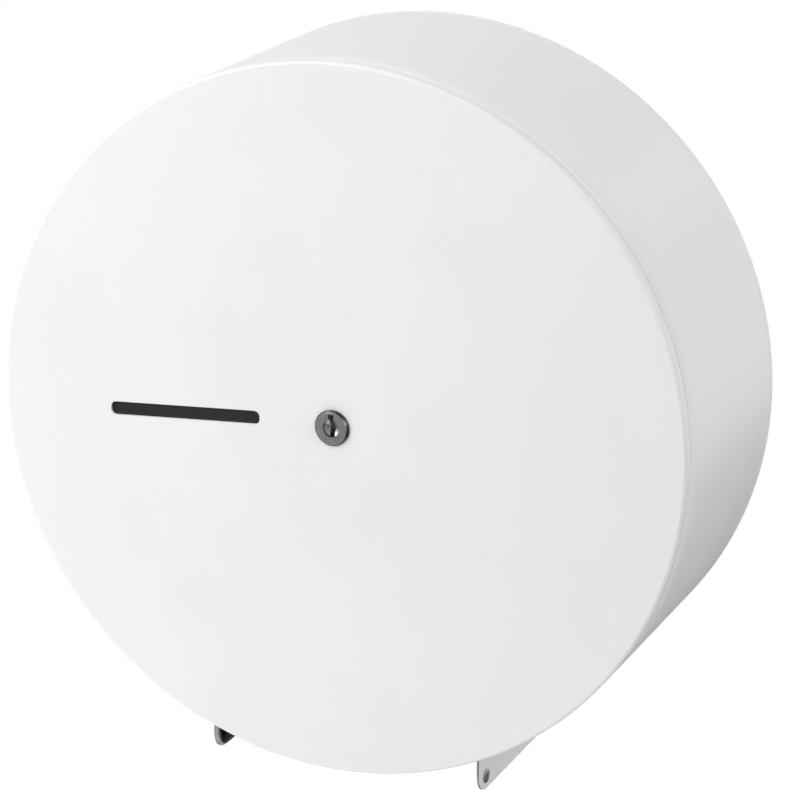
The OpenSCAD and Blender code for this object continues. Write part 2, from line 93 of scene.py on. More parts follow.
class Wire:
    """A value inside a node tree. Arithmetic on it adds Math nodes."""

    def __init__(self, craft: Craft, socket: bpy.types.NodeSocket) -> None:
        """Keeps the tree and the socket that gives the value.

        Args:
            craft: the tree's builder.
            socket: the output socket that carries the value.
        """
        self.craft = craft
        self.socket = socket

    def math(self, operation: str, *values: Any) -> Wire:
        """Adds one Math node.

        Args:
            operation: the node's operation, such as "ADD".
            values: its inputs in order, numbers or wires.

        Returns:
            The node's result.
        """
        feeds = dict(enumerate(values))
        return self.craft.made("ShaderNodeMath", feeds, {"operation": operation})

    def __add__(self, other: Any) -> Wire:
        """Sum."""
        return self.math("ADD", self, other)

    def __radd__(self, other: Any) -> Wire:
        """Sum with a number on the left."""
        return self.math("ADD", other, self)

    def __sub__(self, other: Any) -> Wire:
        """Difference."""
        return self.math("SUBTRACT", self, other)

    def __rsub__(self, other: Any) -> Wire:
        """Difference with a number on the left."""
        return self.math("SUBTRACT", other, self)

    def __mul__(self, other: Any) -> Wire:
        """Product."""
        return self.math("MULTIPLY", self, other)

    def __rmul__(self, other: Any) -> Wire:
        """Product with a number on the left."""
        return self.math("MULTIPLY", other, self)

    def __truediv__(self, other: Any) -> Wire:
        """Quotient."""
        return self.math("DIVIDE", self, other)

    def __rtruediv__(self, other: Any) -> Wire:
        """Quotient with a number on the left."""
        return self.math("DIVIDE", other, self)

    def __pow__(self, other: Any) -> Wire:
        """Power."""
        return self.math("POWER", self, other)

    def __rpow__(self, other: Any) -> Wire:
        """Power with a number on the left."""
        return self.math("POWER", other, self)

    def absolute(self) -> Wire:
        """Value without its sign."""
        return self.math("ABSOLUTE", self)

    def above(self, level: float) -> Wire:
        """1 where the value is above a level, else 0."""
        return self.math("GREATER_THAN", self, level)

    def either(self, other: Any) -> Wire:
        """The larger of two values."""
        return self.math("MAXIMUM", self, other)

    def wave(self) -> Wire:
        """Sine of an angle in radians, brought between 0 and 1."""
        return self.math("SINE", self) * 0.5 + 0.5

    def swing(self, amount: float) -> Wire:
        """A value between 0 and 1 as a swing about zero."""
        return (self - 0.5) * amount

    def step(self, low: float, high: float) -> Wire:
        """Rises smoothly from 0 to 1 between two levels.

        Args:
            low: where the rise starts.
            high: where it ends.

        Returns:
            The smoothed step.
        """
        feeds = {"Value": self, "From Min": low, "From Max": high}
        smooth = {"interpolation_type": "SMOOTHSTEP"}
        return self.craft.made("ShaderNodeMapRange", feeds, smooth, "Result")


class Craft:
    """Builds the nodes of one tree."""

    def __init__(self, tree: bpy.types.NodeTree) -> None:
        """Starts from an empty tree.

        Args:
            tree: the tree to fill.
        """
        self.tree = tree
        self.tree.nodes.clear()

    def add(
        self,
        kind: str,
        feeds: Optional[Feeds] = None,
        settings: Optional[Dict[str, Any]] = None,
    ) -> bpy.types.Node:
        """Adds one node of any type.

        Args:
            kind: the node's type.
            feeds: its inputs by name or number, as values or wires.
            settings: its own settings, which are set first.

        Returns:
            The new node.
        """
        node = self.tree.nodes.new(kind)
        for name, value in (settings or {}).items():
            setattr(node, name, value)
        for key, value in (feeds or {}).items():
            if isinstance(value, Wire):
                self.tree.links.new(value.socket, node.inputs[key])
            else:
                node.inputs[key].default_value = value
        return node

    def out(self, node: bpy.types.Node, name: Union[str, int] = 0) -> Wire:
        """Gives one of a node's outputs as a wire."""
        return Wire(self, node.outputs[name])

    def made(
        self,
        kind: str,
        feeds: Optional[Feeds] = None,
        settings: Optional[Dict[str, Any]] = None,
        name: Union[str, int] = 0,
    ) -> Wire:
        """Adds one node of any type for the sake of one output.

        Args:
            kind: the node's type.
            feeds: its inputs by name or number, as values or wires.
            settings: its own settings, which are set first.
            name: the output's name or number.

        Returns:
            The output.
        """
        return self.out(self.add(kind, feeds, settings), name)


class Shading(Craft):
    """The node tree of one material."""

    def __init__(self, name: str) -> None:
        """Makes an empty material.

        Args:
            name: the material's name.
        """
        self.material = bpy.data.materials.new(name)
        self.material.use_nodes = True
        super().__init__(self.material.node_tree)

    def place(self) -> Wire:
        """Position on the object, in metres."""
        return self.made("ShaderNodeTexCoord", name="Object")

    def parts(self, vector: Wire) -> List[Wire]:
        """The three components of a vector."""
        node = self.add("ShaderNodeSeparateXYZ", {0: vector})
        return [self.out(node, axis) for axis in "XYZ"]

    def stretch(self, vector: Wire, factors: Triple) -> Wire:
        """Scales a vector by a factor for each axis."""
        feeds = {0: vector, 1: factors}
        return self.made("ShaderNodeVectorMath", feeds, {"operation": "MULTIPLY"})

    def noise(self, vector: Wire, size: float, detail: float) -> Wire:
        """Soft noise between 0 and 1.

        Args:
            vector: where it is read.
            size: the width of one blotch, in metres.
            detail: how many finer layers it has.

        Returns:
            The noise.
        """
        feeds = {"Vector": vector, "Scale": 1.0 / size, "Detail": detail}
        return self.made("ShaderNodeTexNoise", feeds, name="Fac")

    def cells(self, vector: Wire, size: float) -> Wire:
        """Distance to the nearest of many scattered points, in cell widths."""
        feeds = {"Vector": vector, "Scale": 1.0 / size}
        return self.made("ShaderNodeTexVoronoi", feeds, name="Distance")

    def blend(self, first: Union[Colour, Wire], second: Colour, factor: Wire) -> Wire:
        """Mixes two colours.

        Args:
            first: the colour where the factor is 0, or a wire.
            second: the colour where it is 1.
            factor: the mask.

        Returns:
            The mixed colour.
        """
        near = first if isinstance(first, Wire) else (*first, 1.0)
        feeds = {0: factor, MIX_FIRST: near, MIX_SECOND: (*second, 1.0)}
        return self.made("ShaderNodeMix", feeds, {"data_type": "RGBA"}, MIX_RESULT)

    def bump(self, height: Wire, depth: float) -> Wire:
        """A normal from a height between 0 and 1.

        Args:
            height: the relief.
            depth: how deep it is, in metres.

        Returns:
            The bumped normal.
        """
        return self.made("ShaderNodeBump", {"Height": height, "Distance": depth})


class Growth(Craft):
    """A Geometry Nodes tree that makes one kind of repeated piece."""

    def __init__(self, name: str, sizes: Dict[str, float]) -> None:
        """Makes the tree and its named size inputs.

        Args:
            name: the tree's name.
            sizes: each input's name and value.
        """
        super().__init__(bpy.data.node_groups.new(name, "GeometryNodeTree"))
        self.name = name
        self.sizes = sizes
        face = self.tree.interface
        face.new_socket("Geometry", in_out="INPUT", socket_type="NodeSocketGeometry")
        face.new_socket("Geometry", in_out="OUTPUT", socket_type="NodeSocketGeometry")
        for label in sizes:
            face.new_socket(label, in_out="INPUT", socket_type="NodeSocketFloat")
        self.entry = self.add("NodeGroupInput")

    def size(self, label: str) -> Wire:
        """The value of a named size input."""
        return self.out(self.entry, label)

    def vector(self, x: Any = 0.0, y: Any = 0.0, z: Any = 0.0) -> Wire:
        """A vector from three values."""
        return self.made("ShaderNodeCombineXYZ", {0: x, 1: y, 2: z})

    def ball(self, label: str, detail: int) -> Wire:
        """A ball whose radius is a named size input."""
        feeds = {"Radius": self.size(label), "Subdivisions": detail}
        return self.made("GeometryNodeMeshIcoSphere", feeds)

    def moved(self, shape: Wire, **feeds: Any) -> Wire:
        """Moves, turns or scales a geometry.

        Args:
            shape: the geometry.
            feeds: Translation, Rotation or Scale.

        Returns:
            The changed geometry.
        """
        return self.made("GeometryNodeTransform", {"Geometry": shape, **feeds})

    def faced(self, shape: Wire, label: str) -> Wire:
        """Turns a flat-lying geometry to the front and sets it off from the wall.

        Args:
            shape: the geometry, laid out round the Z axis.
            label: the size input that says how far from the wall it stands.

        Returns:
            The geometry, laid out round the Y axis.
        """
        upright = self.moved(shape, Rotation=(QUARTER_TURN, 0.0, 0.0))
        return self.moved(upright, Translation=self.vector(y=self.size(label) * -1.0))

    def strung(self, curve: Wire, count: int) -> Wire:
        """Points at even distances along a curve."""
        return self.made("GeometryNodeCurveToPoints", {"Curve": curve, "Count": count})

    def row(self, count: int, start: Wire, offset: Wire) -> Wire:
        """Points in a straight row.

        Args:
            count: how many there are.
            start: where the first one lies.
            offset: the way from each to the next.

        Returns:
            The points.
        """
        feeds = {"Count": count, "Start Location": start, "Offset": offset}
        return self.made("GeometryNodeMeshLine", feeds)

    def copies(self, points: Wire, shape: Wire) -> Wire:
        """One copy of a shape on each point, still as instances."""
        return self.made("GeometryNodeInstanceOnPoints", {"Points": points, "Instance": shape})

    def joined(self, shapes: Iterable[Wire]) -> Wire:
        """Several geometries as one.

        Args:
            shapes: the geometries.

        Returns:
            The whole.
        """
        node = self.add("GeometryNodeJoinGeometry")
        for shape in shapes:
            self.tree.links.new(shape.socket, node.inputs[0])
        return self.out(node)

    def harvest(self, shape: Wire, finish: Finish) -> bpy.types.Object:
        """Ends the tree and turns what it makes into a plain mesh object.

        Args:
            shape: the finished geometry.
            finish: what the piece is made of.

        Returns:
            The new piece, at the origin and without modifiers. It has the tree's name.
        """
        smooth = self.made("GeometryNodeSetShadeSmooth", {0: shape})
        solid = self.made("GeometryNodeRealizeInstances", {0: smooth})
        feeds = {"Geometry": solid, "Material": finish.material()}
        self.add("NodeGroupOutput", {0: self.made("GeometryNodeSetMaterial", feeds)})

        seed_name = f"{self.name}_seed"
        seed = bpy.data.objects.new(seed_name, bpy.data.meshes.new(seed_name))
        bpy.context.scene.collection.objects.link(seed)
        modifier = seed.modifiers.new("growth", "NODES")
        modifier.node_group = self.tree
        for item in self.tree.interface.items_tree:
            if item.item_type == "SOCKET" and item.in_out == "INPUT" and item.name in self.sizes:
                modifier[item.identifier] = float(self.sizes[item.name])
        depsgraph = bpy.context.evaluated_depsgraph_get()
        mesh = bpy.data.meshes.new_from_object(seed.evaluated_get(depsgraph))
        seed.modifiers.clear()
        bpy.data.objects.remove(seed)
        piece = bpy.data.objects.new(self.name, mesh)
        bpy.context.scene.collection.objects.link(piece)
        return piece


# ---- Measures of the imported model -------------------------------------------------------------


def out_from_wall(node: str) -> Span:
    """How far a node reaches out from the wall.

    Args:
        node: the node's name.

    Returns:
        Its nearest and farthest distance from the wall, in metres.
    """
    low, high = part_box(node)
    return -high.y, -low.y


def blade_faces() -> Span:
    """Distance of a blade's inner and outer face from the middle, in metres."""
    low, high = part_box("tear_blade_right")
    return low.x, high.x


def lug_faces() -> Span:
    """Distance of a lug's inner and outer face from the middle, in metres."""
    return blade_faces()[1], blade_faces()[1] + LUG_SHEET


def between(value: Wire, low: float, high: float, skin: float) -> Wire:
    """Masks what lies between two levels.

    Args:
        value: the value that is compared.
        low: the lower level.
        high: the upper level.
        skin: how far inside each level the mask starts, and over what width it rises.

    Returns:
        1 between the levels, else 0.
    """
    past = value.step(high - 2 * skin, high - skin)
    return value.step(low + skin, low + 2 * skin) * (1.0 - past)


def reach(first: Wire, second: Wire) -> Wire:
    """Distance from an axis, from the two components across it."""
    return (first * first + second * second) ** 0.5


def lighter(colour: Colour, gain: float) -> Colour:
    """A colour with each channel multiplied by a gain."""
    red, green, blue = colour
    return red * gain, green * gain, blue * gain


# ---- Finishes ---------------------------------------------------------------------------------


@dataclass(frozen=True)
class Finish:
    """A surface finish that can be laid on any piece.

    A span is the pair of levels between which a pattern fades in, a share is its weight among
    two, a gain is how much lighter it makes the colour, and a gloss is how much it changes the
    roughness. Lengths are the widths and the depths of the patterns.
    """

    name: str

    def surface(self, shade: Shading) -> Feeds:
        """The inputs of the surface shader.

        Args:
            shade: the material's tree.

        Returns:
            Each input's name with its value or wire.
        """
        raise NotImplementedError

    def material(self) -> bpy.types.Material:
        """Builds the finish once and gives the same material on later calls.

        Returns:
            The material.
        """
        made = bpy.data.materials.get(self.name)
        if made is None:
            shade = Shading(self.name)
            shader = shade.made("ShaderNodeBsdfPrincipled", self.surface(shade))
            shade.add("ShaderNodeOutputMaterial", {"Surface": shader})
            made = shade.material
        return made


@dataclass(frozen=True)
class PowderCoat(Finish):
    """Baked powder paint with a faint orange peel and almost no wear."""

    colour: Colour
    shade_colour: Colour
    roughness: float = 0.34
    cloud: float = 60 * MM
    cloud_span: Span = (0.3, 0.6)
    cloud_gloss: float = 0.1
    peel: float = 1.4 * MM
    peel_height: float = 0.006 * MM
    peel_gloss: float = 0.04

    def surface(self, shade: Shading) -> Feeds:
        """White paint whose tone and gloss drift a little from place to place.

        Args:
            shade: the material's tree.

        Returns:
            Each input's name with its value or wire.
        """
        place = shade.place()
        cloud = shade.noise(place, self.cloud, CLOUDY)
        peel = shade.noise(place, self.peel, SMOOTH)
        tone = cloud.step(*self.cloud_span)
        gloss = self.roughness + cloud.swing(self.cloud_gloss)
        return {
            "Base Color": shade.blend(self.shade_colour, self.colour, tone),
            "Roughness": gloss + peel.swing(self.peel_gloss),
            "Normal": shade.bump(peel, self.peel_height),
        }


@dataclass(frozen=True)
class TrimmedCoat(PowderCoat):
    """Powder coat on the drum; on the cut edges of its lugs the steel shows through."""

    bare: Colour = (0.33, 0.33, 0.34)
    bare_metal: float = 0.75
    bare_gloss: float = 0.12
    skin: float = 0.06 * MM
    lug_h: float = 16 * MM

    def surface(self, shade: Shading) -> Feeds:
        """White paint, worn thin between the planes of each lug's faces.

        Args:
            shade: the material's tree.

        Returns:
            Each input's name with its value or wire.
        """
        feeds = super().surface(shade)
        inner, outer = lug_faces()
        across, _, up = shade.parts(shade.place())
        low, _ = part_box("drum_wall")
        cut = between(across.absolute(), inner, outer, self.skin)
        edge = cut * (1.0 - up.above(low.z + self.lug_h))
        feeds["Base Color"] = shade.blend(feeds["Base Color"], self.bare, edge)
        feeds["Metallic"] = edge * self.bare_metal
        feeds["Roughness"] = feeds["Roughness"] + edge * self.bare_gloss
        return feeds


@dataclass(frozen=True)
class RolledSteel(Finish):
    """Bare steel with the fine lines that rolling or drawing leaves along one axis."""

    colour: Colour
    dark: Colour
    along: Triple
    roughness: float = 0.34
    line: float = 0.35 * MM
    line_depth: float = 0.004 * MM
    line_share: float = 0.6
    line_gloss: float = 0.2
    patch: float = 9 * MM
    patch_gloss: float = 0.15
    tone_span: Span = (0.3, 0.65)

    def surface(self, shade: Shading) -> Feeds:
        """Steel with drawn lines and dull patches.

        Args:
            shade: the material's tree.

        Returns:
            Each input's name with its value or wire.
        """
        place = shade.place()
        lines = shade.noise(shade.stretch(place, self.along), self.line, PLAIN)
        patch = shade.noise(place, self.patch, CLOUDY)
        tone = lines * self.line_share + patch * (1.0 - self.line_share)
        gloss = self.roughness + lines.swing(self.line_gloss)
        return {
            "Base Color": shade.blend(self.dark, self.colour, tone.step(*self.tone_span)),
            "Metallic": 1.0,
            "Roughness": gloss + patch.swing(self.patch_gloss),
            "Normal": shade.bump(lines, self.line_depth),
        }


@dataclass(frozen=True)
class GroundBlade(RolledSteel):
    """Blued strip whose bevel and cut edges are dull bare steel."""

    bare: Colour = (0.24, 0.24, 0.25)
    skin: float = 0.06 * MM

    def surface(self, shade: Shading) -> Feeds:
        """Dark rolled faces; what lies between the planes of the two faces is bare.

        Args:
            shade: the material's tree.

        Returns:
            Each input's name with its value or wire.
        """
        feeds = super().surface(shade)
        across, _, _ = shade.parts(shade.place())
        bare = between(across.absolute(), *blade_faces(), self.skin)
        feeds["Base Color"] = shade.blend(feeds["Base Color"], self.bare, bare)
        return feeds


@dataclass(frozen=True)
class Plating(Finish):
    """Plated small hardware: cloudy, with a fine grain."""

    colour: Colour
    cloud_colour: Colour
    roughness: float = 0.3
    cloud: float = 5 * MM
    cloud_span: Span = (0.35, 0.7)
    cloud_gloss: float = 0.1
    grain: float = 0.25 * MM
    grain_depth: float = 0.004 * MM
    grain_gloss: float = 0.16

    def surface(self, shade: Shading) -> Feeds:
        """Metal whose tint drifts slowly over a fine grain.

        Args:
            shade: the material's tree.

        Returns:
            Each input's name with its value or wire.
        """
        place = shade.place()
        cloud = shade.noise(place, self.cloud, CLOUDY)
        grain = shade.noise(place, self.grain, PLAIN)
        tone = cloud.step(*self.cloud_span)
        gloss = self.roughness + grain.swing(self.grain_gloss)
        return {
            "Base Color": shade.blend(self.colour, self.cloud_colour, tone),
            "Metallic": 1.0,
            "Roughness": gloss + cloud.swing(self.cloud_gloss),
            "Normal": shade.bump(grain, self.grain_depth),
        }


@dataclass(frozen=True)
class BlindRivet(Plating):
    """Dull rivet metal; the tails behind the blades are painted near black, as painted shade."""

    # Painted shade: near black for the rivet tails in the shade behind the blades.
    tail_painted_shade: Colour = (0.04, 0.04, 0.042)
    tail_shade_blur: float = 0.1 * MM

    def surface(self, shade: Shading) -> Feeds:
        """Grey heads, and tails darkened as painted shade.

        Args:
            shade: the material's tree.

        Returns:
            Each input's name with its value or wire.
        """
        feeds = super().surface(shade)
        inner, _ = blade_faces()
        across, _, _ = shade.parts(shade.place())
        # Painted shade: darkens whatever lies inside the blade's inner face.
        behind = 1.0 - across.absolute().step(inner, inner + self.tail_shade_blur)
        feeds["Base Color"] = shade.blend(feeds["Base Color"], self.tail_painted_shade, behind)
        return feeds


@dataclass(frozen=True)
class TurnedMetal(Finish):
    """Metal that was turned on a lathe about the lock's axis, then plated."""

    colour: Colour
    groove_colour: Colour
    roughness: float = 0.32
    pitch: float = 0.22 * MM
    groove_depth: float = 0.004 * MM
    groove_share: float = 0.4
    haze: float = 1.5 * MM
    haze_bend: float = 3.0
    haze_gloss: float = 0.2
    tone_span: Span = (0.2, 0.7)

    def surface(self, shade: Shading) -> Feeds:
        """Fine rings round the axis, broken up by a slight haze.

        Args:
            shade: the material's tree.

        Returns:
            Each input's name with its value or wire.
        """
        place = shade.place()
        across, _, up = shade.parts(place)
        radius = reach(across, up)
        haze = shade.noise(place, self.haze, CLOUDY)
        rings = (radius * (FULL_TURN / self.pitch) + haze * self.haze_bend).wave()
        tone = rings * self.groove_share + haze * (1.0 - self.groove_share)
        return {
            "Base Color": shade.blend(self.groove_colour, self.colour, tone.step(*self.tone_span)),
            "Metallic": 1.0,
            "Roughness": self.roughness + haze.swing(self.haze_gloss),
            "Normal": shade.bump(rings, self.groove_depth),
        }


@dataclass(frozen=True)
class HeadNickel(TurnedMetal):
    """Nickel of the lock's head; its chamfer is painted dark, a painted reflection of dark
    surroundings and painted shade.
    """

    face_r: float = 6.9 * MM
    head_h: float = 1.6 * MM
    # Painted shade and painted reflection: dark colour laid on the chamfer round the face.
    painted_chamfer_shade: Colour = (0.085, 0.085, 0.09)
    painted_chamfer_shade_blur: float = 0.25 * MM

    def surface(self, shade: Shading) -> Feeds:
        """Turned face, with the chamfer round it painted dark as painted shade and painted
        reflection.

        Args:
            shade: the material's tree.

        Returns:
            Each input's name with its value or wire.
        """
        feeds = super().surface(shade)
        across, towards_wall, up = shade.parts(shade.place())
        seat = out_from_wall("lock_body")[1] - self.head_h
        on_head = (towards_wall * -1.0).above(seat)
        # Painted shade: darkens the head outside its flat face.
        painted_shade_ring = reach(across, up).step(self.face_r, self.face_r + self.painted_chamfer_shade_blur) * on_head
        feeds["Base Color"] = shade.blend(feeds["Base Color"], self.painted_chamfer_shade, painted_shade_ring)
        return feeds


@dataclass(frozen=True)
class SmokedPlastic(Finish):
    """Nearly black glossy plastic with hairline scratches."""

    colour: Colour
    roughness: float = 0.16
    along: Triple = (0.04, 1.0, 1.0)
    hair: float = 0.3 * MM
    hair_depth: float = 0.002 * MM
    hair_span: Span = (0.62, 0.72)
    hair_gloss: float = 0.25
    haze: float = 12 * MM
    haze_span: Span = (0.4, 0.7)
    haze_gain: float = 1.5
    haze_gloss: float = 0.05

    def surface(self, shade: Shading) -> Feeds:
        """Dark plastic; the scratches run along the strip.

        Args:
            shade: the material's tree.

        Returns:
            Each input's name with its value or wire.
        """
        place = shade.place()
        hair = shade.noise(shade.stretch(place, self.along), self.hair, PLAIN)
        haze = shade.noise(place, self.haze, PLAIN)
        light = lighter(self.colour, self.haze_gain)
        gloss = self.roughness + hair.step(*self.hair_span) * self.hair_gloss
        return {
            "Base Color": shade.blend(self.colour, light, haze.step(*self.haze_span)),
            "Roughness": gloss + haze.swing(self.haze_gloss),
            "Normal": shade.bump(hair, self.hair_depth),
        }


@dataclass(frozen=True)
class FoamTape(Finish):
    """Cut edge of an adhesive foam, full of tiny pores."""

    colour: Colour
    roughness: float = 0.85
    pore: float = 0.35 * MM
    pore_depth: float = 0.06 * MM
    pore_span: Span = (0.1, 0.6)
    pore_gain: float = 2.2
    pore_gloss: float = 0.1

    def surface(self, shade: Shading) -> Feeds:
        """Matt foam with pores.

        Args:
            shade: the material's tree.

        Returns:
            Each input's name with its value or wire.
        """
        pores = shade.cells(shade.place(), self.pore)
        light = lighter(self.colour, self.pore_gain)
        return {
            "Base Color": shade.blend(self.colour, light, pores.step(*self.pore_span)),
            "Roughness": self.roughness + pores.swing(self.pore_gloss),
            "Normal": shade.bump(pores, self.pore_depth),
        }


PAINT = PowderCoat("white_powder_coat", (0.885, 0.885, 0.885), (0.868, 0.868, 0.868))
WALL_PAINT = TrimmedCoat("trimmed_powder_coat", PAINT.colour, PAINT.shade_colour)
TUBE_STEEL = RolledSteel(
    "drawn_tube_steel", (0.62, 0.62, 0.61), (0.45, 0.45, 0.45), (1.0, 0.03, 1.0)
)
PLATE_STEEL = RolledSteel(
    "punched_plate_steel", (0.58, 0.58, 0.58), (0.42, 0.42, 0.42), (0.05, 1.0, 1.0)
)
BLADE_STEEL = GroundBlade(
    "blued_blade_steel", (0.05, 0.052, 0.058), (0.02, 0.021, 0.025), (1.0, 0.04, 1.0)
)
RIVET_METAL = Plating("rivet_metal", (0.44, 0.44, 0.45), (0.3, 0.3, 0.305), 0.42)
BLADE_RIVET = BlindRivet(
    "blade_rivet_painted_shade", RIVET_METAL.colour, RIVET_METAL.cloud_colour, RIVET_METAL.roughness
)
# Painted shade: the mandrel stubs are real parts, but their near black colour stands for the shade
# inside the hollow rivet heads.
MANDREL_PAINTED_SHADE = Plating("mandrel_steel_painted_shade", (0.05, 0.05, 0.05), (0.02, 0.02, 0.02), 0.5)
ZINC = Plating("bright_zinc_plate", (0.6, 0.61, 0.63), (0.52, 0.51, 0.48))
NICKEL = HeadNickel("satin_nickel_painted_chamfer_shade", (0.5, 0.5, 0.51), (0.37, 0.37, 0.375))
PLUG_METAL = TurnedMetal("dull_die_cast", (0.55, 0.55, 0.56), (0.36, 0.36, 0.37), 0.34)
WAFER_STEEL = Plating("wafer_steel", (0.3, 0.3, 0.3), (0.18, 0.18, 0.18), 0.4)
WINDOW = SmokedPlastic("smoked_window", (0.02, 0.021, 0.024))
FOAM = FoamTape("foam_tape", (0.02, 0.02, 0.02))


# ---- Pieces -----------------------------------------------------------------------------------


class Body(Enum):
    """The model's rigid bodies."""

    HOUSING = "housing"
    COVER = "cover"
    LOCK = "lock"


class Slot(Enum):
    """Names of the material slots."""

    PAINT = "painted_sheet"
    SPINDLE = "spindle_steel"
    RIVET = "rivet_metal"
    LOCK = "lock_plating"
    PLUG = "plug_metal"


def settle(piece: bpy.types.Object, body: Body) -> None:
    """Makes a new piece ride on its body.

    Args:
        piece: the piece.
        body: what it rides on.
    """
    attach(piece, body.value)
    log.info("made %s on %s, %d faces", piece.name, body.value, len(piece.data.polygons))


@dataclass
class Assembly:
    """Nodes of the frame that belong together, each with its finish."""

    nodes: Dict[str, Finish]

    def dress(self) -> None:
        """Lays the finishes on the nodes."""
        for name, finish in self.nodes.items():
            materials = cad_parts[name].data.materials
            materials.clear()
            materials.append(finish.material())
            log.info("laid %s on %s", finish.name, name)


@dataclass
class Drum(Assembly):
    """The back plate and the rolled wall with its welded flange."""

    nodes: Dict[str, Finish] = field(
        default_factory=lambda: {"back_plate": PAINT, "drum_wall": WALL_PAINT}
    )
    flange_w: float = 7 * MM
    sheet: float = 1.2 * MM
    weld_count: int = 22
    weld_r: float = 2.1 * MM
    weld_h: float = 0.35 * MM
    weld_detail: int = 3
    steps_per_weld: int = 8
    gap_half_angle: float = math.radians(27.0)

    def dress(self) -> None:
        """Paints the sheet metal and adds the spot welds of the rear flange."""
        super().dress()
        settle(self.spot_welds(), Body.HOUSING)

    def spot_welds(self) -> bpy.types.Object:
        """Shallow painted nuggets round the flange, where it is welded to the back plate.

        Returns:
            The new piece.
        """
        low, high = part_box("back_plate")
        sizes = {
            "Ring radius": (high.x - low.x) / 2 - self.flange_w / 2,
            "Level": out_from_wall("drum_wall")[0] + self.sheet,
            "Nugget radius": self.weld_r,
            "Nugget height": self.weld_h,
        }
        grow = Growth("spot_welds", sizes)
        feeds = {
            "Resolution": self.steps_per_weld * self.weld_count,
            "Radius": grow.size("Ring radius"),
            "Start Angle": self.gap_half_angle - QUARTER_TURN,
            "Sweep Angle": FULL_TURN - 2 * self.gap_half_angle,
        }
        points = grow.strung(grow.made("GeometryNodeCurveArc", feeds), self.weld_count)
        flat = grow.size("Nugget height") / grow.size("Nugget radius")
        ball = grow.ball("Nugget radius", self.weld_detail)
        nugget = grow.moved(ball, Scale=grow.vector(1.0, 1.0, flat))
        return grow.harvest(grow.faced(grow.copies(points, nugget), "Level"), PAINT)


@dataclass
class Spindle(Assembly):
    """The fixed spindle on its riveted foot."""

    nodes: Dict[str, Finish] = field(
        default_factory=lambda: {
            "spindle_foot": PLATE_STEEL,
            "spindle_tube": TUBE_STEEL,
            "spindle_end_plate": PLATE_STEEL,
            "spindle_rivets": RIVET_METAL,
        }
    )
    bead_r: float = 1.1 * MM
    bead_count: int = 54
    bead_detail: int = 3
    steps_per_bead: int = 4

    def dress(self) -> None:
        """Finishes the spindle and adds the weld round its foot."""
        super().dress()
        settle(self.foot_weld(), Body.HOUSING)

    def foot_weld(self) -> bpy.types.Object:
        """Weld bead of overlapping ripples in the corner between tube and foot.

        Returns:
            The new piece.
        """
        low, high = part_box("spindle_tube")
        sizes = {
            "Tube radius": (high.x - low.x) / 2,
            "Level": out_from_wall("spindle_tube")[0],
            "Bead radius": self.bead_r,
        }
        grow = Growth("foot_weld", sizes)
        feeds = {
            "Resolution": self.steps_per_bead * self.bead_count,
            "Radius": grow.size("Tube radius"),
        }
        path = grow.made("GeometryNodeCurvePrimitiveCircle", feeds)
        ripple = grow.ball("Bead radius", self.bead_detail)
        ripples = grow.copies(grow.strung(path, self.bead_count), ripple)
        return grow.harvest(grow.faced(ripples, "Level"), TUBE_STEEL)


@dataclass
class TearEdge(Assembly):
    """The two blades and the blind rivets that hold them to the lugs."""

    nodes: Dict[str, Finish] = field(
        default_factory=lambda: {
            "tear_blade_left": BLADE_STEEL,
            "tear_blade_right": BLADE_STEEL,
            "blade_rivets": BLADE_RIVET,
        }
    )
    per_lug: int = 2
    sunk: float = 0.8 * MM
    stub_r: float = 0.8 * MM
    stub_len: float = 0.7 * MM
    stub_taper: float = 0.82
    stub_sides: int = 24
    stub_bands: int = 2
    stub_rings: int = 3

    def dress(self) -> None:
        """Finishes blades and rivets and adds the rivets' broken mandrels."""
        super().dress()
        settle(self.mandrels(), Body.HOUSING)

    def mandrels(self) -> bpy.types.Object:
        """The stub that is left in each rivet's hollow head, coloured near black as painted shade.

        Returns:
            The new piece.
        """
        low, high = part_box("blade_rivets")
        head_r = (high.z - low.z) / 2
        rear, front = high.y - head_r, low.y + head_r
        sizes = {
            "Stub radius": self.stub_r,
            "Stub length": self.stub_len,
            "Out": high.x - self.sunk - self.stub_len / 2,
            "Height": (high.z + low.z) / 2,
            "Rear": rear,
            "Spacing": front - rear,
        }
        grow = Growth("rivet_mandrels", sizes)
        feeds = {
            "Vertices": self.stub_sides,
            "Side Segments": self.stub_bands,
            "Fill Segments": self.stub_rings,
            "Radius Top": grow.size("Stub radius") * self.stub_taper,
            "Radius Bottom": grow.size("Stub radius"),
            "Depth": grow.size("Stub length"),
        }
        stub = grow.made("GeometryNodeMeshCone", feeds)
        pairs = []
        for side in (-1.0, 1.0):
            start = grow.vector(grow.size("Out") * side, grow.size("Rear"), grow.size("Height"))
            points = grow.row(self.per_lug, start, grow.vector(y=grow.size("Spacing")))
            turned = grow.moved(stub, Rotation=(0.0, side * QUARTER_TURN, 0.0))
            pairs.append(grow.copies(points, turned))
        return grow.harvest(grow.joined(pairs), MANDREL_PAINTED_SHADE)


@dataclass
class Cover(Assembly):
    """The round cover with its sight slot."""

    nodes: Dict[str, Finish] = field(
        default_factory=lambda: {"cover_shell": PAINT, "sight_window": WINDOW, "window_tape": FOAM}
    )


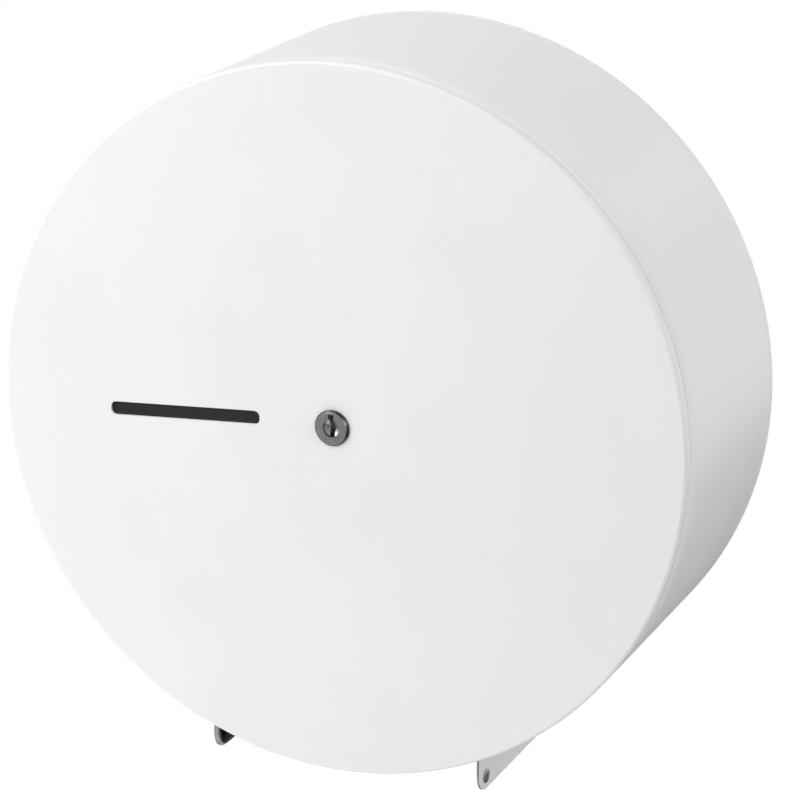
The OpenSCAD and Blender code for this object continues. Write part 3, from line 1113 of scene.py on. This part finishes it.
@dataclass
class CamLock(Assembly):
    """The keyed cam lock in the middle of the cover."""

    nodes: Dict[str, Finish] = field(
        default_factory=lambda: {
            "lock_body": NICKEL,
            "lock_washer": ZINC,
            "lock_nut": ZINC,
            "plug_ring": ZINC,
            "lock_plug": PLUG_METAL,
            "lock_cam": ZINC,
            "cam_washer": ZINC,
            "cam_screw": ZINC,
        }
    )
    barrel_r: float = 7.2 * MM
    thread_pitch: float = 1.0 * MM
    thread_h: float = 0.28 * MM
    thread_end: float = 0.6 * MM
    thread_steps: int = 64
    thread_sides: int = 6
    dish: float = 1.5 * MM
    wafer_count: int = 4
    wafer_pitch: float = 0.85 * MM
    wafer_t: float = 0.5 * MM
    wafer_w: float = 2.3 * MM
    wafer_len: float = 2.2 * MM
    wafer_cuts: int = 3
    slot_low: float = -3.6 * MM
    slot_high: float = 4.8 * MM

    def dress(self) -> None:
        """Finishes the lock and adds its thread and its wafers."""
        super().dress()
        settle(self.barrel_thread(), Body.COVER)
        settle(self.key_wafers(), Body.LOCK)

    def barrel_thread(self) -> bpy.types.Object:
        """The thread on the part of the barrel that the nut leaves bare.

        Returns:
            The new piece.
        """
        start = out_from_wall("lock_body")[0] + self.thread_end
        length = out_from_wall("lock_nut")[0] - start
        sizes = {
            "Barrel radius": self.barrel_r,
            "Length": length,
            "Start": start,
            "Ridge": self.thread_h,
        }
        grow = Growth("barrel_thread", sizes)
        feeds = {
            "Resolution": self.thread_steps,
            "Rotations": length / self.thread_pitch,
            "Start Radius": grow.size("Barrel radius"),
            "End Radius": grow.size("Barrel radius"),
            "Height": grow.size("Length"),
        }
        helix = grow.made("GeometryNodeCurveSpiral", feeds)
        feeds = {"Resolution": self.thread_sides, "Radius": grow.size("Ridge")}
        ridge = grow.made("GeometryNodeCurvePrimitiveCircle", feeds)
        feeds = {"Curve": helix, "Profile Curve": ridge, "Fill Caps": True}
        thread = grow.made("GeometryNodeCurveToMesh", feeds)
        return grow.harvest(grow.faced(thread, "Start"), NICKEL)

    def key_wafers(self) -> bpy.types.Object:
        """The edges of the sprung wafers that stand into the key slot, above and below in turn.

        Returns:
            The new piece.
        """
        front = out_from_wall("lock_plug")[1] - self.dish - self.wafer_t
        sizes = {
            "Front": -front,
            "Pitch": self.wafer_pitch,
            "Top": self.slot_high,
            "Bottom": self.slot_low,
        }
        grow = Growth("key_wafers", sizes)
        feeds = {
            "Size": (self.wafer_w, self.wafer_t, self.wafer_len),
            "Vertices X": self.wafer_cuts,
            "Vertices Z": self.wafer_cuts,
        }
        wafer = grow.made("GeometryNodeMeshCube", feeds)
        edges = ("Top", "Bottom")
        rows = []
        for first, edge in enumerate(edges):
            count = len(range(first, self.wafer_count, len(edges)))
            behind = grow.size("Front") + grow.size("Pitch") * first
            start = grow.vector(y=behind, z=grow.size(edge))
            points = grow.row(count, start, grow.vector(y=grow.size("Pitch") * len(edges)))
            rows.append(grow.copies(points, wafer))
        return grow.harvest(grow.joined(rows), WAFER_STEEL)


# ---- Studio -----------------------------------------------------------------------------------


@dataclass(frozen=True)
class Lamp:
    """One soft square light."""

    name: str
    place: Triple
    power: float
    size: float

    def hang(self, target: Vector) -> None:
        """Hangs the lamp and turns it to the target.

        Args:
            target: the point that it faces.
        """
        data = bpy.data.lights.new(self.name, "AREA")
        data.shape = "SQUARE"
        data.size = self.size
        data.energy = self.power
        lamp = bpy.data.objects.new(self.name, data)
        lamp.location = Vector(self.place)
        lamp.rotation_euler = (target - lamp.location).to_track_quat("-Z", "Y").to_euler()
        bpy.context.scene.collection.objects.link(lamp)


@dataclass
class Studio:
    """White surroundings, soft lamps and the camera.

    The surroundings and the floor are plain white to the camera. In mirrors they are darker in
    front and below, as a room would be, so that metal has something dark to show: "room" and
    "underneath" say how bright they stay there, and the spans say where they change, as a cosine
    for the surroundings and as distances in metres for the floor.
    """

    camera_place: Triple = (0.5302, -1.3124, 0.4163)
    azimuth: float = 22.733
    elevation: float = 17.212
    lens: float = 147.58
    sensor: float = 36.0
    ambient: float = 0.2
    room: float = 0.35
    room_side: Triple = (0.55, -0.75, 0.35)
    room_span: Span = (-0.1, 0.3)
    floor_level: float = -0.75
    floor_reach: float = 8.0
    floor_colour: Colour = (0.85, 0.85, 0.85)
    front_span: Span = (0.4, 2.2)
    below_span: Span = (1.6, 3.2)
    underneath: float = 0.12
    lamps: Tuple[Lamp, ...] = (
        Lamp("key_lamp", (-0.62, -0.83, 0.66), 12.0, 1.0),
        Lamp("fill_lamp", (-0.6, -0.4, -0.7), 4.0, 0.8),
        Lamp("side_lamp", (1.9, -0.7, 0.8), 13.5, 1.0),
        Lamp("high_lamp", (1.2, 0.3, 1.4), 7.8, 1.0),
        Lamp("low_lamp", (0.0, -0.25, -0.72), 1.9, 0.8),
        Lamp("back_lamp", (0.0, 2.2, 0.0), 12.0, 0.6),
    )

    def set_up(self) -> None:
        """Builds the surroundings, hangs the lamps and sets the camera."""
        scene = bpy.context.scene
        scene.view_settings.view_transform = "Standard"
        low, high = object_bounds()
        for lamp in self.lamps:
            lamp.hang((low + high) / 2)
        self.light_world(scene)
        self.lay_floor(scene)
        self.aim_camera(scene)

    def strength(self, craft: Craft, lost: Wire) -> Wire:
        """Brightness of the surroundings for the ray that meets them.

        Args:
            craft: the tree.
            lost: the share of their brightness that mirrors don't see.

        Returns:
            1 to the camera, what is left in mirrors, and 0 to other rays.
        """
        path = craft.add("ShaderNodeLightPath")
        direct = craft.out(path, "Is Camera Ray")
        mirrored = craft.out(path, "Is Glossy Ray").either(craft.out(path, "Is Transmission Ray"))
        return direct.either(mirrored * (1.0 - lost))

    def light_world(self, scene: bpy.types.Scene) -> None:
        """White where it is seen, and a soft even light on the object.

        Args:
            scene: the scene that it surrounds.
        """
        world = bpy.data.worlds.new("surroundings")
        world.use_nodes = True
        scene.world = world
        craft = Craft(world.node_tree)
        direction = craft.made("ShaderNodeTexCoord", name="Object")
        feeds = {0: direction, 1: self.room_side}
        facing = craft.made("ShaderNodeVectorMath", feeds, {"operation": "DOT_PRODUCT"}, "Value")
        shown = self.strength(craft, facing.step(*self.room_span) * (1.0 - self.room))
        feeds = {"Color": WHITE, "Strength": shown.either(self.ambient)}
        craft.add("ShaderNodeOutputWorld", {"Surface": craft.made("ShaderNodeBackground", feeds)})

    def lay_floor(self, scene: bpy.types.Scene) -> None:
        """A pale floor well below the object.

        Args:
            scene: the scene that it lies in.
        """
        far, level = self.floor_reach, self.floor_level
        points = [(-far, -far, level), (far, -far, level), (far, far, level), (-far, far, level)]
        mesh = bpy.data.meshes.new("floor")
        mesh.from_pydata(points, [], [(0, 1, 2, 3)])
        mesh.materials.append(self.floor_material())
        floor = bpy.data.objects.new("floor", mesh)
        scene.collection.objects.link(floor)
        floor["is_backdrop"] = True

    def floor_material(self) -> bpy.types.Material:
        """Matt where light falls on it, and glowing where the camera or a mirror sees it.

        Returns:
            The material.
        """
        shade = Shading("pale_floor")
        across, towards_wall, _ = shade.parts(shade.place())
        in_front = (towards_wall * -1.0).step(*self.front_span) * (1.0 - self.room)
        distance = reach(across, towards_wall)
        below = (1.0 - distance.step(*self.below_span)) * (1.0 - self.underneath)
        shown = self.strength(shade, in_front.either(below))
        matt = shade.made("ShaderNodeBsdfDiffuse", {"Color": (*self.floor_colour, 1.0)})
        glow = shade.made("ShaderNodeEmission", {"Color": WHITE, "Strength": shown})
        mixed = shade.made("ShaderNodeMixShader", {0: shown.above(0.0), 1: matt, 2: glow})
        shade.add("ShaderNodeOutputMaterial", {"Surface": mixed})
        return shade.material

    def aim_camera(self, scene: bpy.types.Scene) -> None:
        """Camera to the right of the object and a little above it.

        Args:
            scene: the scene that it shows.
        """
        data = bpy.data.cameras.new("camera")
        data.sensor_width = self.sensor
        data.lens = self.lens
        camera = bpy.data.objects.new("camera", data)
        camera.location = Vector(self.camera_place)
        pitch, turn = math.radians(90.0 - self.elevation), math.radians(self.azimuth)
        camera.rotation_euler = (pitch, 0.0, turn)
        scene.collection.objects.link(camera)
        scene.camera = camera


def main() -> None:
    """Dresses the dispenser and builds the studio round it."""
    logging.basicConfig(level=logging.INFO, format="%(name)s: %(message)s")
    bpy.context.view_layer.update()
    for assembly in (Drum(), Spindle(), TearEdge(), Cover(), CamLock()):
        assembly.dress()
    Studio().set_up()


if __name__ == "__main__":
    main()
